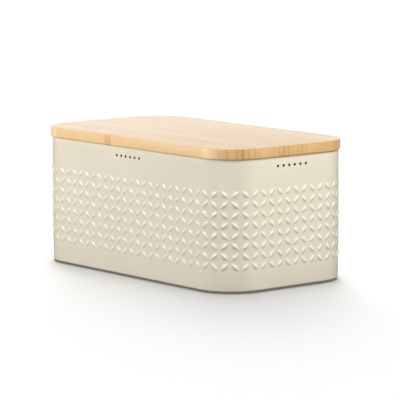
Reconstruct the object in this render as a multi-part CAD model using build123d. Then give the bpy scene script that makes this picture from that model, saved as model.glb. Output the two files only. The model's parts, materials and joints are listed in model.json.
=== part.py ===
from build123d import *
import os
from math import atan2, ceil, cos, degrees, pi, radians, sin

# Bread box: an embossed sheet-steel box on four soft feet, with a lift-off lid of glued bamboo strips.
# Millimetres, +Z up. The origin is on the table under the middle of the box, +X runs along the long
# sides and the front faces -Y.

# The box
BODY_LENGTH = 340.0  # outside of the wall, along X
BODY_WIDTH = 185.0  # outside of the wall, along Y
BODY_HEIGHT = 143.5  # from the underside of the wall to the top of its rim
CORNER_RADIUS = 44.3  # outside radius of the four upright corners
SHEET = 0.6  # steel thickness of the wall and the base pan
BOTTOM_BEND = 2.0  # outside radius of the bend under the wall
FLANGE_WIDTH = 10.0  # the inturned flange under the wall, from the wall's outside
HEM_DEPTH = 7.0  # how far the rim is folded down inside the wall

# The embossed band of petals
PETAL_RUN = 11.6  # wanted spacing of the columns; the count that goes round comes nearest to it
PETAL_RISE = 11.2  # spacing of the rows
PETAL_LENGTH = 11.4  # tip to tip, where the petal meets the sheet
PETAL_WIDTH = 4.5
PETAL_HEIGHT = 0.9  # how far the petal stands off the sheet
PETAL_ROOT = 0.25  # how deep the petal's foot is sunk in the sheet
PETAL_MARGIN = 0.5  # flat sheet left beside the tips where the band goes round a corner
BAND_ABOVE = 32.3  # least plain height between the top row and the rim
BAND_BELOW = 21.6  # plain height under the bottom row

# The vents, one row near the top of each side
VENT_COUNT = 6
VENT_SIDES = 8  # each small round hole is cut with this many sides
VENT_DIAMETER = 3.2
VENT_PITCH = 8.0
VENT_DROP = 10.3  # from the rim down to the vents

# The base pan and the feet
PAN_GAP = 0.15  # between the pan's upturned edge and the wall
PAN_EDGE = 8.0  # height of the upturned edge
PANEL_RISE = 1.5  # the stiffening panel pressed up in the pan's floor
PANEL_MARGIN = 8.0  # from the feet to the panel
FOOT_STAND = 2.0  # the wall stands this far off the table
FOOT_WIDTH = 14.0  # of the square pad, where it meets the pan
FOOT_TAPER = 8.0  # degrees that each side of the pad leans in towards the table
FOOT_INSET = 36.0  # from the outside of both walls to the foot's middle

# The lid
LID_OVERHANG = 1.9
LID_THICKNESS = 11.2
LID_BREAK = 1.0  # the sanded edges, on top and underneath
STRIP_WIDTH = 13.5  # wanted width of one bamboo strip
PLUG_DEPTH = 6.0  # the part of the lid that goes down into the box
PLUG_GAP = 2.0  # from the hem to the plug
GROOVE_DROP = 1.5  # from the underside of the board to the gasket's groove
GROOVE_HEIGHT = 3.0
GROOVE_DEPTH = 2.5
GASKET_CLEARANCE = 0.3  # from the gasket to the hem

# Heights above the table
wall_bottom = FOOT_STAND
wall_top = wall_bottom + BODY_HEIGHT
row_count = int((BODY_HEIGHT - BAND_ABOVE - BAND_BELOW) / PETAL_RISE + 0.01)
band_bottom = wall_bottom + BAND_BELOW
band_top = band_bottom + row_count * PETAL_RISE
pan_bottom = wall_bottom + SHEET
groove_top = wall_top - GROOVE_DROP
groove_bottom = groove_top - GROOVE_HEIGHT

# Every outline is a rounded rectangle about the same four corner axes, so its corner radius alone says
# how large it is.
axis_x = BODY_LENGTH / 2 - CORNER_RADIUS
axis_y = BODY_WIDTH / 2 - CORNER_RADIUS
hem_radius = CORNER_RADIUS - 2 * SHEET
pan_radius = CORNER_RADIUS - SHEET - PAN_GAP
plug_radius = hem_radius - PLUG_GAP
lid_radius = CORNER_RADIUS + LID_OVERHANG


def slab(radius, bottom, top, taper=0.0):
    outline = RectangleRounded(2 * (axis_x + radius), 2 * (axis_y + radius), radius)
    return Pos(0, 0, bottom) * extrude(outline, amount=top - bottom, taper=taper)


def bent_slab(radius, bottom, top, bend):
    """A slab whose bottom edge follows a bend in two flat steps, each an eighth of a turn."""
    step = bend * (1 - cos(pi / 4))
    under = slab(radius - bend, bottom, bottom + step, taper=-67.5)
    beside = slab(radius - step, bottom + step, bottom + bend, taper=-22.5)
    return under + beside + slab(radius, bottom + bend, top)


def bottom_edges(solid):
    return solid.faces().sort_by(Axis.Z)[0].edges()


def top_edges(solid):
    return solid.faces().sort_by(Axis.Z)[-1].edges()


# A place on the wall is given by its run round the box, from the middle of the front and to the right as
# seen from outside.
quarter_turn = pi / 2 * CORNER_RADIUS
perimeter = 4 * (axis_x + axis_y) + 4 * quarter_turn
column_count = 4 * round(perimeter / 4 / PETAL_RUN)
column_run = perimeter / column_count
petal_lean = atan2(PETAL_RISE, column_run)
half_flat = PETAL_LENGTH / 2 * cos(petal_lean) + PETAL_MARGIN


def wall_place(run):
    """The point on the wall's outside at a run round the box, and the way that the wall faces, in degrees."""
    sides = [2 * axis_x, 2 * axis_y, 2 * axis_x, 2 * axis_y]
    corners = [(axis_x, -axis_y), (axis_x, axis_y), (-axis_x, axis_y), (-axis_x, -axis_y)]
    left = (run + axis_x) % perimeter
    for turn, (side, corner) in enumerate(zip(sides, corners)):
        facing = 90.0 * turn - 90.0
        if left < side + quarter_turn:
            back = max(side - left, 0.0)
            facing += degrees(max(left - side, 0.0) / CORNER_RADIUS)
            out = radians(facing)
            x = corner[0] + CORNER_RADIUS * cos(out) + back * sin(out)
            y = corner[1] + CORNER_RADIUS * sin(out) - back * cos(out)
            return x, y, facing
        left -= side + quarter_turn


def corner_runs():
    """Where the embossed sheet bends: between the petals, because the petals stiffen each column."""
    runs = []
    start = axis_x
    for side in (2 * axis_y, 2 * axis_x, 2 * axis_y, 2 * axis_x):
        end = start + quarter_turn
        bends = [start]
        for column in range(int(start / column_run), ceil(end / column_run)):
            middle = (column + 0.5) * column_run
            for bend in (middle - half_flat, middle + half_flat):
                if bends[-1] + SHEET < bend < end - SHEET:
                    bends.append(bend)
        runs += bends + [end]
        start = end + side
    return runs


def band_outline(depth):
    points = []
    for run in corner_runs():
        x, y, facing = wall_place(run)
        points.append((x - depth * cos(radians(facing)), y - depth * sin(radians(facing))))
    return make_face(Polyline(*points, close=True))


def petal():
    """One raised petal: four facets that rise from a pointed foot, sunk in the sheet, to one peak."""
    spread = 1 + PETAL_ROOT / PETAL_HEIGHT
    tip = PETAL_LENGTH / 2 * spread
    flank = PETAL_WIDTH / 2 * spread
    foot = [Vector(x, y, -PETAL_ROOT) for x, y in ((tip, 0), (0, flank), (-tip, 0), (0, -flank))]
    peak = Vector(0, 0, PETAL_HEIGHT)
    facets = [Face(Wire.make_polygon([foot[i - 1], foot[i], peak])) for i in range(4)]
    return Solid(Shell([Face(Wire.make_polygon(foot))] + facets))


def petals():
    """The petals lean to the right and to the left in turn, along the rows and up the columns."""
    shape = petal()
    placed = []
    for column in range(column_count):
        middle = (column + 0.5) * column_run
        facing = radians(wall_place(middle)[2])
        flat_ends = [wall_place(middle + end)[:2] for end in (-half_flat, half_flat)]
        x, y = [sum(values) / 2 for values in zip(*flat_ends)]
        out = (cos(facing), sin(facing), 0)
        along = (-out[1], out[0], 0)
        for row in range(row_count):
            height = band_top - (row + 0.5) * PETAL_RISE
            side = 1 if (column + row) % 2 == 0 else -1
            seat = Plane(origin=(x, y, height), x_dir=along, z_dir=out)
            placed.append(seat.location * Rot(0, 0, side * degrees(petal_lean)) * shape)
    return placed


def vents():
    punch = RegularPolygon(VENT_DIAMETER / 2, VENT_SIDES)
    holes = []
    hole = Rot(90, 0, 0) * extrude(punch, amount=2 * SHEET, both=True)
    for side, across in enumerate((BODY_WIDTH, BODY_LENGTH, BODY_WIDTH, BODY_LENGTH)):
        for number in range(VENT_COUNT):
            along = (number - (VENT_COUNT - 1) / 2) * VENT_PITCH
            place = Pos(along, -across / 2, wall_top - VENT_DROP)
            holes.append(Rot(0, 0, 90 * side) * place * hole)
    return holes


def side_wall():
    lower = bent_slab(CORNER_RADIUS, wall_bottom, band_bottom, BOTTOM_BEND)
    lower -= bent_slab(CORNER_RADIUS - SHEET, pan_bottom, band_bottom, BOTTOM_BEND - SHEET)
    lower -= slab(CORNER_RADIUS - FLANGE_WIDTH, wall_bottom, pan_bottom)
    band = extrude(band_outline(0) - band_outline(SHEET), amount=band_top - band_bottom)
    upper = slab(CORNER_RADIUS, band_top, wall_top) - slab(hem_radius, band_top, wall_top)
    upper -= slab(CORNER_RADIUS - SHEET, band_top, wall_top - HEM_DEPTH)
    wall = lower.fuse(Pos(0, 0, band_bottom) * band, upper)
    wall = wall.cut(*vents())
    return wall.fuse(*petals())


def base_pan():
    pan = slab(pan_radius, pan_bottom, pan_bottom + PAN_EDGE)
    pan = chamfer(bottom_edges(pan), BOTTOM_BEND - SHEET)
    hollow = slab(pan_radius - SHEET, pan_bottom + SHEET, pan_bottom + PAN_EDGE)
    pan -= chamfer(bottom_edges(hollow), BOTTOM_BEND - 2 * SHEET)
    panel_inset = FOOT_INSET + FOOT_WIDTH / 2 + PANEL_MARGIN
    panel = Rectangle(BODY_LENGTH - 2 * panel_inset, BODY_WIDTH - 2 * panel_inset)
    panel = chamfer(panel.vertices(), PANEL_MARGIN)
    raised = extrude(panel, amount=PANEL_RISE, taper=45)
    pan += Pos(0, 0, pan_bottom + SHEET) * raised
    return pan - Pos(0, 0, pan_bottom) * raised


def foot(side_x, side_y):
    pad = Rot(180, 0, 0) * extrude(Rectangle(FOOT_WIDTH, FOOT_WIDTH), amount=pan_bottom, taper=FOOT_TAPER)
    x = side_x * (BODY_LENGTH / 2 - FOOT_INSET)
    y = side_y * (BODY_WIDTH / 2 - FOOT_INSET)
    return Pos(x, y, pan_bottom) * pad


def lid_board():
    board = slab(lid_radius, wall_top, wall_top + LID_THICKNESS)
    board = chamfer(top_edges(board) + bottom_edges(board), LID_BREAK)
    plug = slab(plug_radius, wall_top - PLUG_DEPTH, wall_top)
    groove = slab(plug_radius, groove_bottom, groove_top)
    groove -= slab(plug_radius - GROOVE_DEPTH, groove_bottom, groove_top)
    return board + plug - groove


def lid_strips():
    """The board's glued strips, from the front to the back, with one joint along the middle."""
    board = lid_board()
    half_width = axis_y + lid_radius
    per_side = round(half_width / STRIP_WIDTH)
    width = half_width / per_side
    strips = []
    for number in range(-per_side, per_side):
        cut = Pos(0, (number + 0.5) * width, wall_top) * Box(2 * BODY_LENGTH, width, 2 * BODY_HEIGHT)
        strips.append(board & cut)
    return strips


def lid_gasket():
    """A flat band stretched into the plug's groove, which stands out as far as the hem leaves room."""
    band = slab(hem_radius - GASKET_CLEARANCE, groove_bottom, groove_top)
    return band - slab(plug_radius - GROOVE_DEPTH, groove_bottom, groove_top)


nodes = {"side_wall": side_wall(), "base_pan": base_pan(), "lid_gasket": lid_gasket()}
for end, side_y in (("front", -1), ("back", 1)):
    for hand, side_x in (("left", -1), ("right", 1)):
        nodes[f"foot_{end}_{hand}"] = foot(side_x, side_y)
for number, strip in enumerate(lid_strips(), 1):
    nodes[f"lid_strip_{number:02d}"] = strip

os.makedirs("parts", exist_ok=True)
for name, solid in nodes.items():
    export_step(solid, f"parts/{name}.step")
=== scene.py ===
import json
import random
from math import atan2, cos, pi, radians, sin

import bmesh
import bpy
from mathutils import Matrix, Vector
from mathutils.geometry import delaunay_2d_cdt

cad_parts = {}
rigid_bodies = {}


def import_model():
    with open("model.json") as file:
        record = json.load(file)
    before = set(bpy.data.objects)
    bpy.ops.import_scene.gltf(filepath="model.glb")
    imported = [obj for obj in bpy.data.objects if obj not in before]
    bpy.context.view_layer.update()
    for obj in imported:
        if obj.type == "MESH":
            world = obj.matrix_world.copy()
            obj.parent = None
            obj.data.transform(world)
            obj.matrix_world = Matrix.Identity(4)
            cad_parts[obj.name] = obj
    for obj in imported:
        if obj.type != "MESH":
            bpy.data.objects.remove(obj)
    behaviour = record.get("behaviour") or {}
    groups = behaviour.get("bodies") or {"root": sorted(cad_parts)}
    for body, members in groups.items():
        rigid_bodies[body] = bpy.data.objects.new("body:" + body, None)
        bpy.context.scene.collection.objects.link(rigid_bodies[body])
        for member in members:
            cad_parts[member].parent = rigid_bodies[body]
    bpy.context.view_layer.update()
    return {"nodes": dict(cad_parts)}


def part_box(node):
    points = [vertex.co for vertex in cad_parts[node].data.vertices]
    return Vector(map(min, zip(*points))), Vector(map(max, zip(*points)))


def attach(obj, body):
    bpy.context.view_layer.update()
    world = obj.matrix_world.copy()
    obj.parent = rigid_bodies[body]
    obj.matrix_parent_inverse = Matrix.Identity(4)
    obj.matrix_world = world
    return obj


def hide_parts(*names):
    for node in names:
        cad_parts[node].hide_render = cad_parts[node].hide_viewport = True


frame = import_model()
mm = 0.001  # the pieces' settings are in millimetres, their meshes in metres


def boxOf(node):
    low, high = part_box(node)
    return [value / mm for value in low], [value / mm for value in high]


# The wall's outline, shared by everything that is bent or sawn to it
outline = {
    "cornerRadius": 44.3,  # outside of the sheet
    "petalHeight": 0.9,  # the petals stand this far off the sheet, so the wall's box is larger by it
    "cornerSteps": 24,  # for the pieces without petals
}
cornerSigns = ((1, -1), (1, 1), (-1, 1), (-1, -1))  # of x and y, counterclockwise from the front right
wallLow, wallHigh = boxOf("side_wall")
cornerRadius = outline["cornerRadius"]
axisX = wallHigh[0] - outline["petalHeight"] - cornerRadius
axisY = wallHigh[1] - outline["petalHeight"] - cornerRadius
quarterTurn = pi / 2 * cornerRadius
perimeter = 4 * (axisX + axisY + quarterTurn)


def outlinePoint(run, depth):
    # run goes round the wall from the middle of the front to the right, depth goes in from its outside
    remaining = (run + axisX) % perimeter
    for turn, (signX, signY) in enumerate(cornerSigns):
        side = 2 * (axisY if turn % 2 else axisX)
        lastTurn = turn == len(cornerSigns) - 1
        if lastTurn or remaining <= side + quarterTurn:
            break
        remaining -= side + quarterTurn
    facing = pi / 2 * (turn - 1) + max(remaining - side, 0) / cornerRadius
    back = max(side - remaining, 0)
    reach = cornerRadius - depth
    x = signX * axisX + reach * cos(facing) + back * sin(facing)
    y = signY * axisY + reach * sin(facing) - back * cos(facing)
    return x, y


def roundedLoop(halfX, halfY, radius, height, middle=(0.0, 0.0)):
    # a level rounded rectangle, counterclockwise from above; loops of any size have as many points
    steps = outline["cornerSteps"]
    loop = []
    for turn, (signX, signY) in enumerate(cornerSigns):
        for step in range(steps + 1):
            facing = pi / 2 * (turn - 1 + step / steps)
            x = middle[0] + signX * (halfX - radius) + radius * cos(facing)
            y = middle[1] + signY * (halfY - radius) + radius * sin(facing)
            loop.append((x, y, height))
    return loop


def outlineLoops(section):
    # one loop for each (depth, height) of a section, at that depth inside the wall's outline
    loops = []
    for depth, height in section:
        reach = cornerRadius - depth
        loops.append(roundedLoop(axisX + reach, axisY + reach, reach, height))
    return loops


def loft(loops, closed=False):
    # faces from loop to loop; a closed one is a ring, the others get a face at both ends
    count = len(loops[0])
    points = [point for loop in loops for point in loop]
    faces = []
    for row in range(len(loops) if closed else len(loops) - 1):
        low, high = row * count, (row + 1) % len(loops) * count
        for i in range(count):
            after = (i + 1) % count
            faces.append([low + i, low + after, high + after, high + i])
    if not closed:
        faces.append(list(range(count))[::-1])
        faces.append(list(range(len(points) - count, len(points))))
    return points, faces


def arc(depth, height, radius, fromAngle, toAngle, steps):
    # points of a bend in a section, as (depth, height); angle 0 is outwards and 90 is up
    angles = [radians(fromAngle + (toAngle - fromAngle) * step / steps) for step in range(steps + 1)]
    return [(depth - radius * cos(angle), height + radius * sin(angle)) for angle in angles]


def linear(hexColour):
    # sRGB hex to the linear colour that a shader takes
    channels = [int(hexColour[i:i + 2], 16) / 255 for i in (1, 3, 5)]
    return [c / 12.92 if c <= 0.04045 else ((c + 0.055) / 1.055) ** 2.4 for c in channels] + [1.0]


# Inputs that share a name go by number: in a Math node from 0 on, and in a Mix node first how much of the
# second it takes, then the two numbers or the two colours
mixShare, numberA, numberB, colourA, colourB = 0, 2, 3, 6, 7


def setInputs(tree, node, inputs):
    # each input gets a plain value, a socket, or a node, of which the first output in use is linked
    for name, value in inputs.items():
        if isinstance(value, bpy.types.Node):
            value = next(socket for socket in value.outputs if socket.enabled)
        if isinstance(value, bpy.types.NodeSocket):
            tree.links.new(value, node.inputs[name])
        else:
            node.inputs[name].default_value = value


def addNode(tree, kind, inputs, **settings):
    node = tree.nodes.new(kind)
    for name, value in settings.items():
        setattr(node, name, value)
    setInputs(tree, node, inputs)
    return node


def newMaterial(name):
    material = bpy.data.materials.new(name)
    material.use_nodes = True
    return material, material.node_tree, material.node_tree.nodes["Principled BSDF"]


def makePiece(name, points, faces, material, body, node, slot, sharpAngle=35):
    # edges that turn by more than the sharp angle stay hard, the others are shaded smooth
    mesh = bpy.data.meshes.new(name)
    mesh.from_pydata([Vector(point) * mm for point in points], [], faces)
    mesh.validate()
    mesh.shade_smooth()
    mesh.set_sharp_from_angle(angle=radians(sharpAngle))
    mesh.materials.append(material)
    piece = bpy.data.objects.new(name, mesh)
    bpy.context.scene.collection.objects.link(piece)
    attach(piece, body)
    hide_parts(node)
    return piece


# Powder coated sheet steel: sprayed dry and fused in an oven, so the eye gets an even satin cream with a
# faint orange peel in its reflections.
# The petals are painted paler the higher the sheet stands: a painted highlight on their tops.
powderCoat = {
    # painted highlight: the colour that the petals' tops take
    "crest": "#F1EBDB",
    "thinFilm": "#E8E0CD",
    "thickFilm": "#DFD6C0",
    "roughness": 0.24,
    "roughnessDrift": 0.03,  # either way, with the film
    "ior": 1.5,
    "peelSize": 1.6,  # one wave of the orange peel
    "peelDepth": 0.006,
    "filmSize": 70.0,  # slow drift of the film's thickness
}


def makePowderCoat():
    material, tree, shader = newMaterial("powderCoatedSteelSprayed")
    place = addNode(tree, "ShaderNodeTexCoord", {}).outputs["Object"]
    relief = addNode(tree, "ShaderNodeAttribute", {}, attribute_name="relief").outputs["Fac"]
    film = addNode(tree, "ShaderNodeTexNoise", {
        "Vector": place, "Scale": 1 / (powderCoat["filmSize"] * mm), "Detail": 2.0})
    thick, thin, crest = [linear(powderCoat[tint]) for tint in ("thickFilm", "thinFilm", "crest")]
    sheet = addNode(tree, "ShaderNodeMix", {
        mixShare: film, colourA: thick, colourB: thin}, data_type="RGBA")
    # painted highlight: the sheet turns paler towards the petals' tops, by their height
    colour = addNode(tree, "ShaderNodeMix", {
        mixShare: relief, colourA: sheet, colourB: crest}, data_type="RGBA")
    gloss = addNode(tree, "ShaderNodeMapRange", {
        "Value": film,
        "To Min": powderCoat["roughness"] - powderCoat["roughnessDrift"],
        "To Max": powderCoat["roughness"] + powderCoat["roughnessDrift"]})
    peel = addNode(tree, "ShaderNodeTexNoise", {
        "Vector": place, "Scale": 1 / (powderCoat["peelSize"] * mm), "Detail": 1.0})
    bump = addNode(tree, "ShaderNodeBump", {
        "Height": peel, "Strength": 1.0, "Distance": powderCoat["peelDepth"] * mm})
    setInputs(tree, shader, {
        "Base Color": colour, "Roughness": gloss, "Normal": bump, "IOR": powderCoat["ior"]})
    return material


coatMaterial = makePowderCoat()
print("powder coat made")

# The wall: one sheet from the flange underneath, round the bend, up through the petals and vents, over the
# hem and down again inside
wall = {
    "sheet": 0.6,
    "bend": 2.0,
    "bendSteps": 6,
    "flange": 10.0,
    "hemDepth": 7.0,
    "hemSteps": 8,
    "hemGap": 0.1,  # left between the folded edge and the sheet behind it
    "sharpAngle": 42,
}
petal = {
    "columns": 84,
    "rows": 8,
    "bandBelow": 21.6,  # plain sheet under the bottom row
    "rise": 11.2,
    "length": 11.4,
    "width": 4.5,
    "crown": 1.5,  # a higher power draws the crest in and lets the tips fade
    "alongSteps": 8,
    "outsideSteps": (6, 2),  # across the petal, and from the petal to the edge of its cell
    "insideSteps": (4, 1),
}
vent = {
    "count": 6,
    "diameter": 3.2,
    "pitch": 8.0,
    "drop": 10.3,  # from the rim to the middle of the vents
    "sides": 16,
    "margin": 1.3,  # plain sheet above and below, in the window that holds a row of vents
    "windowStations": 8,  # from the window's middle to its end
}

wallBottom, wallTop = wallLow[2], wallHigh[2]
bandBottom = wallBottom + petal["bandBelow"]
bandTop = bandBottom + petal["rows"] * petal["rise"]
columnRun = perimeter / petal["columns"]
borderSteps = petal["alongSteps"] // 2  # along each side of a petal's cell
stationCount = petal["columns"] * borderSteps  # round the whole wall
ventHeight = wallTop - vent["drop"]
ventReach = vent["diameter"] / 2 + vent["margin"]


def mixPoint(start, end, share):
    return (start[0] + (end[0] - start[0]) * share, start[1] + (end[1] - start[1]) * share, 0.0)


def petalCell(leansRight, acrossSteps, ringSteps):
    # points of one cell as (run, height, relief) about its middle, in lines that a grid of faces joins
    halfRun, halfRise = columnRun / 2, petal["rise"] / 2
    lean = atan2(petal["rise"], columnRun) * (1 if leansRight else -1)
    lines = []
    for step in range(petal["alongSteps"] + 1):
        along = -cos(pi * step / petal["alongSteps"])
        halfWidth = petal["width"] / 2 * (1 - along ** 2)
        line = []
        for stepAcross in range(acrossSteps + 1):
            across = 2 * stepAcross / acrossSteps - 1
            relief = ((1 - along ** 2) * (1 - across ** 2)) ** petal["crown"]
            x, y = along * petal["length"] / 2, across * halfWidth
            line.append((x * cos(lean) - y * sin(lean), x * sin(lean) + y * cos(lean), relief))
        # the ends of the line on the cell's border, which turns at the corner between the petal's tips
        share = step / borderSteps - 1  # -1 at the first tip's corner, 0 at the corner between, 1 at the last
        before, after = max(-share, 0), max(share, 0)
        if leansRight:
            upper = (-halfRun + 2 * halfRun * after, halfRise - 2 * halfRise * before)
            lower = (halfRun - 2 * halfRun * before, -halfRise + 2 * halfRise * after)
        else:
            upper = (halfRun - 2 * halfRun * before, halfRise - 2 * halfRise * after)
            lower = (-halfRun + 2 * halfRun * after, -halfRise + 2 * halfRise * before)
        fromLower = [mixPoint(lower, line[0], ring / ringSteps) for ring in range(ringSteps)]
        toUpper = [mixPoint(line[-1], upper, ring / ringSteps) for ring in range(1, ringSteps + 1)]
        lines.append(fromLower + line + toUpper)
    return lines


def ventWindow(middleRun):
    # the flat sheet round one row of vents, as points (run, height) and triangles, with the vents' edges
    steps = range(-vent["windowStations"], vent["windowStations"] + 1)
    bottom = [(step * columnRun / borderSteps, -ventReach) for step in steps]
    border = bottom + [(x, ventReach) for x, y in reversed(bottom)]
    points = [Vector(point) for point in border]
    loops = [list(range(len(border)))]
    for number in range(vent["count"]):
        middle = (number - (vent["count"] - 1) / 2) * vent["pitch"]
        start = len(points)
        for step in range(vent["sides"]):
            angle = 2 * pi * step / vent["sides"]
            reach = vent["diameter"] / 2
            points.append(Vector((middle + reach * cos(angle), reach * sin(angle))))
        loops.append(list(range(start, len(points))))
    leaveHoles, tolerance = 2, 1e-6
    filled = delaunay_2d_cdt(points, [], loops, leaveHoles, tolerance)
    places = [(middleRun + point.x, ventHeight + point.y) for point in filled[0]]
    triangles = [list(triangle) for triangle in filled[2]]
    rings = [[(middleRun + points[i].x, ventHeight + points[i].y) for i in loop] for loop in loops[1:]]
    return places, triangles, rings


def makeWall():
    points, faces, reliefs, found = [], [], [], {}
    digits = 2  # points that agree to 0.01 mm are one
    quarter = stationCount // 4  # stations from the middle of one side to the next

    def vertex(run, height, depth, relief=0.0):
        around = round(run % perimeter, digits) % round(perimeter, digits)
        key = (around, round(height, digits), round(depth, digits))
        if key not in found:
            found[key] = len(points)
            points.append((*outlinePoint(run, depth - relief * outline["petalHeight"]), height))
            reliefs.append(relief)
        return found[key]

    def addFace(corners):
        corners = list(dict.fromkeys(corners))  # at a petal's tips a side has no length
        if len(corners) > 2:
            faces.append(corners)

    def isWindow(station):
        fromMiddle = (station + quarter // 2) % quarter - quarter // 2
        return -vent["windowStations"] <= fromMiddle < vent["windowStations"]

    def sweep(section, window=False):
        for (depthA, heightA), (depthB, heightB) in zip(section, section[1:]):
            for station in range(stationCount):
                if window and isWindow(station):
                    continue
                runA, runB = [k * perimeter / stationCount for k in (station, station + 1)]
                addFace([vertex(runA, heightA, depthA), vertex(runB, heightA, depthA),
                         vertex(runB, heightB, depthB), vertex(runA, heightB, depthB)])

    def emboss(depth, steps, inside):
        cells = [petalCell(leansRight, *steps) for leansRight in (False, True)]
        for column in range(petal["columns"]):
            for row in range(petal["rows"]):
                run = (column + 0.5) * columnRun
                height = bandTop - (row + 0.5) * petal["rise"]
                lines = []
                for line in cells[(column + row + 1) % 2]:
                    lines.append([vertex(run + x, height + y, depth, relief) for x, y, relief in line])
                for lineA, lineB in zip(lines, lines[1:]):
                    for i in range(len(lineA) - 1):
                        corners = [lineA[i], lineB[i], lineB[i + 1], lineA[i + 1]]
                        addFace(corners[::-1] if inside else corners)

    sheet, bend, flange = wall["sheet"], wall["bend"], wall["flange"]
    bendTop, hemEnd = wallBottom + bend, wallTop - wall["hemDepth"]
    ventLow, ventHigh = ventHeight - ventReach, ventHeight + ventReach
    bendOutside = arc(bend, bendTop, bend, -90, 0, wall["bendSteps"])
    bendInside = arc(bend, bendTop, bend - sheet, 0, -90, wall["bendSteps"])
    foldRadius = sheet + wall["hemGap"] / 2
    fold = arc(foldRadius, wallTop - foldRadius, foldRadius, 0, 180, wall["hemSteps"])
    hem = [(2 * foldRadius, hemEnd), (2 * foldRadius - sheet, hemEnd), (sheet, hemEnd)]
    # Up the outside
    sweep([(flange, wallBottom)] + bendOutside + [(0, bandBottom)])
    emboss(0, petal["outsideSteps"], inside=False)
    sweep([(0, bandTop), (0, ventLow)])
    sweep([(0, ventLow), (0, ventHigh)], window=True)
    # Over the rim and down the inside
    sweep([(0, ventHigh)] + fold + hem + [(sheet, ventHigh)])
    sweep([(sheet, ventHigh), (sheet, ventLow)], window=True)
    sweep([(sheet, ventLow), (sheet, bandTop)])
    emboss(sheet, petal["insideSteps"], inside=True)
    sweep([(sheet, bandBottom)] + bendInside + [(flange, wallBottom + sheet), (flange, wallBottom)])
    for side in range(4):
        places, triangles, rings = ventWindow(side * perimeter / 4)
        for triangle in triangles:
            addFace([vertex(*places[i], 0) for i in triangle])
            addFace([vertex(*places[i], sheet) for i in reversed(triangle)])
        for ring in rings:
            for placeA, placeB in zip(ring, ring[1:] + ring[:1]):
                addFace([vertex(*placeA, 0), vertex(*placeB, 0),
                         vertex(*placeB, sheet), vertex(*placeA, sheet)])
    piece = makePiece("sideWall", points, faces, coatMaterial,
                      "box", "side_wall", "powder_coated_steel", wall["sharpAngle"])
    piece.data.attributes.new("relief", "FLOAT", "POINT").data.foreach_set("value", reliefs)
    return piece


boxPieces = [makeWall()]
print("wall made")

# Bamboo: split, planed and glued into a board, then sanded and oiled. The eye gets pale straw strips that
# differ a little in tone, fine fibres along them, a browner band at each node, and denser, darker wood with
# upright layers on the sawn ends.
bamboo = {
    "pale": "#F7D7A5",
    "warm": "#F2CB91",
    "fibre": "#DFAF6E",
    "node": "#CD9A57",
    "joint": "#B98549",
    "endPale": "#E6BB7D",
    "endDark": "#D4A361",
    "endJoint": "#9A6D37",
    "roughness": 0.44,
    "roughnessDrift": 0.06,  # either way, from fibre to fibre
    "ior": 1.5,
    "fibreWidth": 0.9,  # real fibres are about 0.3 wide; drawn coarser so that they show
    "fibreLength": 70.0,
    "fibreDepth": 0.02,
    "fibreRange": (0.5, 0.75),  # of the noise, from no fibre to a full one
    "fibreTone": 0.45,
    "streakScale": 0.22,  # against the fibres, so the streaks are about 4 wide
    "stripTone": 0.4,  # a strip's own part in its tone; the streaks have the rest
    "toneRange": (0.3, 0.7),  # of that mix, from pale to warm
    "nodeSpacing": 240.0,
    "nodeWidth": 14.0,
    "nodeFade": 3.0,
    "nodeLineInset": 2.5,  # from the node's edge to the middle of its line
    "nodeLineReach": 1.0,  # to each side of that middle
    "nodeOnTop": 0.6,  # what the planed top keeps of the node's tone
    "jointWidth": 0.7,  # a glue line is about 0.1 wide; drawn coarser so that it shows
    "jointTone": 0.3,
    "splits": 2,  # in a strip, seen on its sawn ends
    "splitTone": 0.5,  # a split's own part in its tone; the layers have the rest
    "layerWidth": 1.6,
    "layerStretch": 0.12,  # upright layers change only this much as fast with the height
    "endJointWidth": 1.3,  # coarser than a real one as well
    "endJointsHidden": 0.5,  # this part of the splits shows no glue line
    "endJointTone": 0.75,
    "sawnFacing": (0.35, 0.75),  # how far a face turns to the end, from planed to sawn
}
strips = sorted(name for name in frame["nodes"] if name.startswith("lid_strip_"))
stripLow, stripHigh = boxOf(strips[len(strips) // 2])
stripWidth = stripHigh[1] - stripLow[1]


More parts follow.
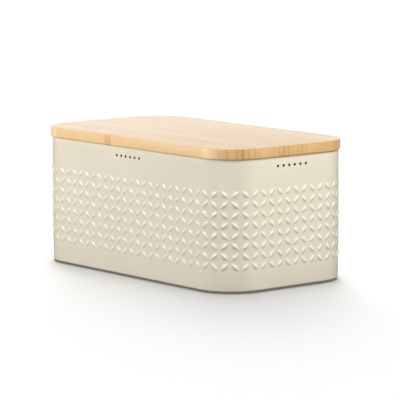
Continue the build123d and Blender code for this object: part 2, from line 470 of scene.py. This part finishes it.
def makeBamboo():
    material, tree, shader = newMaterial("bambooSandedOiled")
    coords = addNode(tree, "ShaderNodeTexCoord", {}).outputs
    normal = addNode(tree, "ShaderNodeSeparateXYZ", {0: coords["Normal"]}).outputs
    strip, across, fromNode, nodeShade = [
        addNode(tree, "ShaderNodeAttribute", {}, attribute_name=name).outputs["Fac"]
        for name in ("strip", "across", "fromNode", "nodeShade")]
    # Every strip has its own tone, and its fibres start elsewhere
    chance = addNode(tree, "ShaderNodeTexWhiteNoise", {"W": strip}, noise_dimensions="1D").outputs["Value"]
    fibreScale = [1 / (bamboo[size] * mm) for size in ("fibreLength", "fibreWidth", "fibreWidth")]
    grain = addNode(tree, "ShaderNodeMapping", {"Vector": coords["Object"], "Scale": fibreScale})
    fibre = addNode(tree, "ShaderNodeTexNoise", {
        "Vector": grain, "W": strip, "Scale": 1.0, "Detail": 3.0}, noise_dimensions="4D")
    streak = addNode(tree, "ShaderNodeTexNoise", {
        "Vector": grain, "W": strip, "Scale": bamboo["streakScale"], "Detail": 1.0}, noise_dimensions="4D")
    tone = addNode(tree, "ShaderNodeMix", {
        mixShare: bamboo["stripTone"], numberA: streak, numberB: chance})
    palest, warmest = bamboo["toneRange"]
    tone = addNode(tree, "ShaderNodeMapRange", {"Value": tone, "From Min": palest, "From Max": warmest})
    board = addNode(tree, "ShaderNodeMix", {
        mixShare: tone, colourA: linear(bamboo["pale"]), colourB: linear(bamboo["warm"])}, data_type="RGBA")
    noFibre, fullFibre = bamboo["fibreRange"]
    fibreMask = addNode(tree, "ShaderNodeMapRange", {
        "Value": fibre, "From Min": noFibre, "From Max": fullFibre, "To Max": bamboo["fibreTone"]})
    # The nodes: a soft band with a thin line along one side, fainter where the skin is planed off on top
    halfSpacing, halfWidth = bamboo["nodeSpacing"] / 2, bamboo["nodeWidth"] / 2
    level = addNode(tree, "ShaderNodeMath", {0: normal["Z"]}, operation="ABSOLUTE")
    planed = addNode(tree, "ShaderNodeMapRange", {
        "Value": level, "To Min": 1.0, "To Max": bamboo["nodeOnTop"]})
    nodeShade = addNode(tree, "ShaderNodeMath", {0: nodeShade, 1: planed}, operation="MULTIPLY")
    nearest = addNode(tree, "ShaderNodeMath", {
        0: fromNode, 1: halfSpacing, 2: -halfSpacing}, operation="WRAP")
    away = addNode(tree, "ShaderNodeMath", {0: nearest}, operation="ABSOLUTE")
    band = addNode(tree, "ShaderNodeMapRange", {
        "Value": away, "From Min": halfWidth, "From Max": halfWidth - bamboo["nodeFade"],
        "To Max": nodeShade}, interpolation_type="SMOOTHSTEP")
    line = addNode(tree, "ShaderNodeMath", {
        0: nearest, 1: halfWidth - bamboo["nodeLineInset"], 2: bamboo["nodeLineReach"]}, operation="COMPARE")
    line = addNode(tree, "ShaderNodeMath", {0: line, 1: nodeShade}, operation="MULTIPLY")
    # The glue lines between the strips hardly show along the grain
    stripMiddle = 0.5
    fromJoint = addNode(tree, "ShaderNodeMath", {0: across, 1: stripMiddle}, operation="PINGPONG")
    joint = addNode(tree, "ShaderNodeMapRange", {
        "Value": fromJoint, "From Min": bamboo["jointWidth"] / stripWidth, "From Max": 0.0,
        "To Max": bamboo["jointTone"]})
    for mask, tint in ((fibreMask, "fibre"), (band, "node"), (line, "node"), (joint, "joint")):
        board = addNode(tree, "ShaderNodeMix", {
            mixShare: mask, colourA: board, colourB: linear(bamboo[tint])}, data_type="RGBA")
    # The sawn ends: each split has its own tone and upright layers, and some have a darker glue line
    splitWidth = 1 / bamboo["splits"]
    split = addNode(tree, "ShaderNodeMath", {0: strip, 1: across}, operation="ADD")
    split = addNode(tree, "ShaderNodeMath", {0: split, 1: splitWidth}, operation="SNAP")
    chance = addNode(tree, "ShaderNodeTexWhiteNoise", {"W": split}, noise_dimensions="1D").outputs["Value"]
    layerScale = 1 / (bamboo["layerWidth"] * mm)
    upright = addNode(tree, "ShaderNodeMapping", {
        "Vector": coords["Object"], "Scale": [0.0, layerScale, layerScale * bamboo["layerStretch"]]})
    layer = addNode(tree, "ShaderNodeTexNoise", {"Vector": upright, "Scale": 1.0, "Detail": 2.0})
    dark = addNode(tree, "ShaderNodeMix", {
        mixShare: bamboo["splitTone"], numberA: layer, numberB: chance})
    endPale, endDark, endJoint = [linear(bamboo[tint]) for tint in ("endPale", "endDark", "endJoint")]
    end = addNode(tree, "ShaderNodeMix", {
        mixShare: dark, colourA: endPale, colourB: endDark}, data_type="RGBA")
    fromSplit = addNode(tree, "ShaderNodeMath", {0: across, 1: splitWidth / 2}, operation="PINGPONG")
    glueTone = addNode(tree, "ShaderNodeMapRange", {
        "Value": chance, "From Min": bamboo["endJointsHidden"], "To Max": bamboo["endJointTone"]})
    glue = addNode(tree, "ShaderNodeMapRange", {
        "Value": fromSplit, "From Min": bamboo["endJointWidth"] / stripWidth, "From Max": 0.0,
        "To Max": glueTone})
    end = addNode(tree, "ShaderNodeMix", {
        mixShare: glue, colourA: end, colourB: endJoint}, data_type="RGBA")
    facing = addNode(tree, "ShaderNodeMath", {0: normal["X"]}, operation="ABSOLUTE")
    planedTo, sawnFrom = bamboo["sawnFacing"]
    sawn = addNode(tree, "ShaderNodeMapRange", {"Value": facing, "From Min": planedTo, "From Max": sawnFrom})
    colour = addNode(tree, "ShaderNodeMix", {mixShare: sawn, colourA: board, colourB: end}, data_type="RGBA")
    gloss = addNode(tree, "ShaderNodeMapRange", {
        "Value": fibre,
        "To Min": bamboo["roughness"] - bamboo["roughnessDrift"],
        "To Max": bamboo["roughness"] + bamboo["roughnessDrift"]})
    bump = addNode(tree, "ShaderNodeBump", {
        "Height": fibre, "Strength": 1.0, "Distance": bamboo["fibreDepth"] * mm})
    setInputs(tree, shader, {
        "Base Color": colour, "Roughness": gloss, "Normal": bump, "IOR": bamboo["ior"]})
    return material


# The lid: one board with a plug under it, sawn along its length where the strips are glued
lid = {
    "edgeRound": 1.1,
    "edgeSteps": 4,
    "overhang": 1.9,
    "thickness": 11.2,
    "plugInset": 3.2,  # from the wall's outside to the plug
    "plugDepth": 6.0,
    "grooveDrop": 1.5,
    "grooveHeight": 3.0,
    "grooveDepth": 2.5,
    "sawTolerance": 1e-5,
    "sharpAngle": 30,
    "frontNode": -35.0,  # where the front strip has its node, and how dark that is
    "frontNodeShade": 0.55,
    "nodeShades": (0.06, 0.2),  # of the others
    "seed": 5,  # for the others' nodes
}


def lidSection():
    plug, out, edge = lid["plugInset"], -lid["overhang"], lid["edgeRound"]
    grooveTop = wallTop - lid["grooveDrop"]
    grooveBottom = grooveTop - lid["grooveHeight"]
    grooveIn = plug + lid["grooveDepth"]
    top = wallTop + lid["thickness"]
    section = [(plug, wallTop - lid["plugDepth"]), (plug, grooveBottom), (grooveIn, grooveBottom)]
    section += [(grooveIn, grooveTop), (plug, grooveTop), (plug, wallTop)]
    section += arc(out + edge, wallTop + edge, edge, -90, 0, lid["edgeSteps"])
    return section + arc(out + edge, top - edge, edge, 0, 90, lid["edgeSteps"])


def newBoard(section):
    points, faces = loft(outlineLoops(section))
    board = bmesh.new()
    verts = [board.verts.new(point) for point in points]
    for face in faces:
        board.faces.new([verts[i] for i in face])
    return board


def sawStrip(board, front, back):
    for place, way in ((front, -1), (back, 1)):
        geometry = board.verts[:] + board.edges[:] + board.faces[:]
        cut = bmesh.ops.bisect_plane(
            board, geom=geometry, plane_co=(0, place, 0), plane_no=(0, way, 0),
            clear_outer=True, dist=lid["sawTolerance"])
        rim = [item for item in cut["geom_cut"] if isinstance(item, bmesh.types.BMEdge)]
        if rim:
            bmesh.ops.edgeloop_fill(board, edges=rim)
    bmesh.ops.recalc_face_normals(board, faces=board.faces)


def makeLid():
    section = lidSection()
    chance = random.Random(lid["seed"])
    pieces = []
    for number, node in enumerate(strips):
        low, high = boxOf(node)
        board = newBoard(section)
        sawStrip(board, low[1], high[1])
        board.verts.index_update()
        points = [vert.co[:] for vert in board.verts]
        faces = [[vert.index for vert in face.verts] for face in board.faces]
        board.free()
        name = "lidStrip" + node[-2:]
        piece = makePiece(name, points, faces, bambooMaterial, "lid", node, "bamboo", lid["sharpAngle"])
        nodePlace, shade = chance.uniform(low[0], high[0]), chance.uniform(*lid["nodeShades"])
        if number == 0:
            nodePlace, shade = lid["frontNode"], lid["frontNodeShade"]
        grain = {
            "strip": [float(number)] * len(points),
            "across": [(y - low[1]) / (high[1] - low[1]) for x, y, z in points],
            "fromNode": [x - nodePlace for x, y, z in points],
            "nodeShade": [shade] * len(points),
        }
        for kind, values in grain.items():
            piece.data.attributes.new(kind, "FLOAT", "POINT").data.foreach_set("value", values)
        pieces.append(piece)
    return pieces


bambooMaterial = makeBamboo()
lidPieces = makeLid()
print("lid made of", len(strips), "strips")

# Silicone: moulded in one ring and dusted, so the eye gets a soft matt grey-white
silicone = {"body": "#DAD6CC", "dust": "#E6E3DB", "dustSize": 6.0, "roughness": 0.6, "ior": 1.41}
# Rubber: pressed into pads with a matt skin, so the eye gets a dull, slightly dusty dark grey
rubber = {"body": "#4A4743", "dust": "#5C5852", "dustSize": 2.0, "roughness": 0.75, "ior": 1.52}


def makeSoft(name, look):
    material, tree, shader = newMaterial(name)
    place = addNode(tree, "ShaderNodeTexCoord", {}).outputs["Object"]
    dust = addNode(tree, "ShaderNodeTexNoise", {
        "Vector": place, "Scale": 1 / (look["dustSize"] * mm), "Detail": 3.0})
    colour = addNode(tree, "ShaderNodeMix", {
        mixShare: dust, colourA: linear(look["body"]), colourB: linear(look["dust"])}, data_type="RGBA")
    setInputs(tree, shader, {"Base Color": colour, "Roughness": look["roughness"], "IOR": look["ior"]})
    return material


siliconeMaterial = makeSoft("siliconeMoulded", silicone)
rubberMaterial = makeSoft("rubberPressed", rubber)

# The pan: a shallow tray on the wall's flange, with a panel pressed up in its floor
pan = {
    "gap": 0.15,  # to the wall
    "edge": 8.0,
    "bend": 1.4,
    "bendSteps": 5,
    "panelInset": 51.0,  # from the wall's outside to the panel
    "panelCorner": 8.0,
    "panelRise": 1.5,
    "panelSlope": (0.8, -2.1),  # the pressed step's reach outside and inside the panel's edge
    "panelSteps": 6,
}


def panelLoops(bottom):
    outside, inside = pan["panelSlope"]
    loops = []
    for step in range(pan["panelSteps"] + 1):
        share = step / pan["panelSteps"]
        grow = outside + (inside - outside) * share
        halfX = axisX + cornerRadius - pan["panelInset"] + grow
        halfY = axisY + cornerRadius - pan["panelInset"] + grow
        height = bottom + pan["panelRise"] * share ** 2 * (3 - 2 * share)  # level at both ends
        loops.append(roundedLoop(halfX, halfY, pan["panelCorner"] + grow, height))
    return loops


def makePan():
    sheet, bend, steps = wall["sheet"], pan["bend"], pan["bendSteps"]
    out, bottom = sheet + pan["gap"], wallBottom + sheet
    section = arc(out + bend, bottom + bend, bend, -90, 0, steps)
    section += arc(out + sheet / 2, bottom + pan["edge"] - sheet / 2, sheet / 2, 0, 180, steps)
    section += arc(out + bend, bottom + bend, bend - sheet, 0, -90, steps)
    loops = panelLoops(bottom)[::-1] + outlineLoops(section) + panelLoops(bottom + sheet)
    return makePiece("basePan", *loft(loops), coatMaterial, "box", "base_pan", "powder_coated_steel")


# The gasket: a ring with a rounded lip, stretched into the plug's groove
gasket = {"clearance": 0.3, "lipRound": 1.0, "lipSteps": 5}


def makeGasket():
    lip, steps = gasket["lipRound"], gasket["lipSteps"]
    out = 2 * wall["sheet"] + gasket["clearance"]
    inner = lid["plugInset"] + lid["grooveDepth"]
    top = wallTop - lid["grooveDrop"]
    bottom = top - lid["grooveHeight"]
    section = [(inner, bottom)] + arc(out + lip, bottom + lip, lip, -90, 0, steps)
    section += arc(out + lip, top - lip, lip, 0, 90, steps) + [(inner, top)]
    ring = loft(outlineLoops(section), closed=True)
    return makePiece("lidGasket", *ring, siliconeMaterial, "lid", "lid_gasket", "silicone")


# The feet: square pads with rounded corners, a little narrower at the table
foot = {"corner": 2.0, "taper": 0.37, "edgeRound": 0.6, "edgeSteps": 4}


def makeFeet():
    pieces = []
    edge = foot["edgeRound"]
    for node in sorted(name for name in frame["nodes"] if name.startswith("foot_")):
        low, high = boxOf(node)
        half = (high[0] - low[0]) / 2
        middle = ((low[0] + high[0]) / 2, (low[1] + high[1]) / 2)
        section = arc(foot["taper"] + edge, low[2] + edge, edge, -90, 0, foot["edgeSteps"])
        section.append((0.0, high[2]))
        loops = []
        for inset, height in section:
            loops.append(roundedLoop(half - inset, half - inset, foot["corner"], height, middle))
        words = "".join(word.capitalize() for word in node.split("_"))
        name = words[0].lower() + words[1:]
        pieces.append(makePiece(name, *loft(loops), rubberMaterial, "box", node, "foot_rubber"))
    return pieces


boxPieces += [makePan()] + makeFeet()
lidPieces.append(makeGasket())
print("pan, gasket and feet made")

# A white paper floor, plain soft light and the photograph's view, in metres, degrees and watts
studio = {
    "paper": "#F4F4F4",
    "floorSize": 24.0,
    "skyLow": 0.22,  # light from the horizon and below
    "skyHigh": 0.45,  # light from straight above
    # The paper is lit from behind the box, by elevation, so that the shadow fades towards the viewer
    "paperLights": {88: 0.36, 62: 0.13, 42: 0.11, 26: 0.1, 15: 0.05},
    "paperSpread": 30.0,
    "paperTurn": 4.0,  # from straight behind, so that the shadow leans to the right
    "softboxes": {
        "frontLeft": {"lights": "box", "place": (-0.33, -0.9, 0.62), "size": 0.65, "power": 9.7},
        "right": {"lights": "box", "place": (0.72, 0.1, 0.84), "size": 0.6, "power": 11.6},
        "fill": {"lights": "box", "place": (0.7, -0.9, 0.15), "size": 0.8, "power": 1.6},
        "lidFront": {"lights": "lid", "place": (-0.55, -1.05, 0.3), "size": 0.7, "power": 11.7},
        "lidRight": {"lights": "lid", "place": (1.1, 0.35, 0.3), "size": 0.7, "power": 8.0},
        "lidCorner": {"lights": "lid", "place": (0.9, -0.9, 0.3), "size": 0.8, "power": 4.0},
        "lidBack": {"lights": "lid", "place": (-1.5, 1.25, 0.75), "size": 1.6, "power": 16.0},
        "boxBack": {"lights": "box", "place": (-1.5, 1.25, 0.75), "size": 1.6, "power": 34.0},
    },
}
camera = {
    "azimuth": 50.72,
    "elevation": 7.95,
    "distance": 2.99,
    "lens": 237.5,  # in millimetres
    "roll": -0.14,
    "target": (0.0, 0.0, 0.0735),
    "aimRight": 0.0084,  # from the target, so that the box sits in the picture as in the photograph
    "aimUp": 0.0051,
}


def makeSky():
    world = bpy.data.worlds.new("studio")
    world.use_nodes = True
    bpy.context.scene.world = world
    tree = world.node_tree
    way = addNode(tree, "ShaderNodeTexCoord", {}).outputs["Generated"]
    height = addNode(tree, "ShaderNodeSeparateXYZ", {0: way}).outputs["Z"]
    glow = addNode(tree, "ShaderNodeMapRange", {
        "Value": height, "To Min": studio["skyLow"], "To Max": studio["skyHigh"]})
    setInputs(tree, tree.nodes["Background"], {"Color": (1, 1, 1, 1), "Strength": glow})


# Paper: white and matt from its coating, so the eye gets an even white without any gloss
def makePaper():
    material, tree, shader = newMaterial("paperCoatedWhite")
    setInputs(tree, shader, {"Base Color": linear(studio["paper"]), "Specular IOR Level": 0.0})
    return material


def makeFloor():
    half = studio["floorSize"] / 2
    mesh = bpy.data.meshes.new("floor")
    mesh.from_pydata([(x * half, y * half, 0) for x, y in cornerSigns], [], [(0, 1, 2, 3)])
    mesh.materials.append(makePaper())
    floor = bpy.data.objects.new("floor", mesh)
    bpy.context.scene.collection.objects.link(floor)
    floor.visible_diffuse = False  # the sides of the box get no light back from the paper, nor mirror it
    floor.visible_glossy = False
    return floor


def makeLights(floor):
    lamps = bpy.context.scene.collection.objects
    lit = {}
    for name, pieces in (("paper", [floor]), ("box", boxPieces), ("lid", lidPieces)):
        lit[name] = bpy.data.collections.new(name)
        for piece in pieces:
            lit[name].objects.link(piece)
    turn = radians(180 + camera["azimuth"] + studio["paperTurn"])
    for elevation, share in studio["paperLights"].items():
        sun = bpy.data.lights.new("paperLight", "SUN")
        sun.energy = share * pi / sin(radians(elevation))  # so level paper shows this share of its white
        sun.angle = radians(studio["paperSpread"])
        lamp = bpy.data.objects.new("paperLight", sun)
        lamp.rotation_euler = (radians(90 - elevation), 0, turn)
        lamp.light_linking.receiver_collection = lit["paper"]
        lamps.link(lamp)
    for name, softbox in studio["softboxes"].items():
        light = bpy.data.lights.new(name, "AREA")
        light.size = softbox["size"]
        light.energy = softbox["power"]
        lamp = bpy.data.objects.new(name, light)
        lamp.location = softbox["place"]
        toBox = Vector(camera["target"]) - lamp.location
        lamp.rotation_euler = toBox.to_track_quat("-Z", "Y").to_euler()
        lamp.light_linking.receiver_collection = lit[softbox["lights"]]
        lamps.link(lamp)


def makeCamera():
    azimuth, elevation, roll = [radians(camera[name]) for name in ("azimuth", "elevation", "roll")]
    back = Vector((sin(azimuth) * cos(elevation), -cos(azimuth) * cos(elevation), sin(elevation)))
    right = Vector((cos(azimuth), sin(azimuth), 0))
    up = back.cross(right)
    target = Vector(camera["target"])
    place = target + back * camera["distance"]
    aim = target + right * camera["aimRight"] + up * camera["aimUp"]
    behind = (place - aim).normalized()
    level = right * cos(roll) + up * sin(roll)
    upright = behind.cross(level).normalized()
    level = upright.cross(behind)
    lens = bpy.data.cameras.new("camera")
    lens.lens = camera["lens"]
    viewer = bpy.data.objects.new("camera", lens)
    turn = Matrix((level, upright, behind)).transposed().to_4x4()
    viewer.matrix_world = Matrix.Translation(place) @ turn
    bpy.context.scene.collection.objects.link(viewer)
    bpy.context.scene.camera = viewer


bpy.context.scene.view_settings.view_transform = "Standard"
makeSky()
makeLights(makeFloor())
makeCamera()
print("studio and camera set")
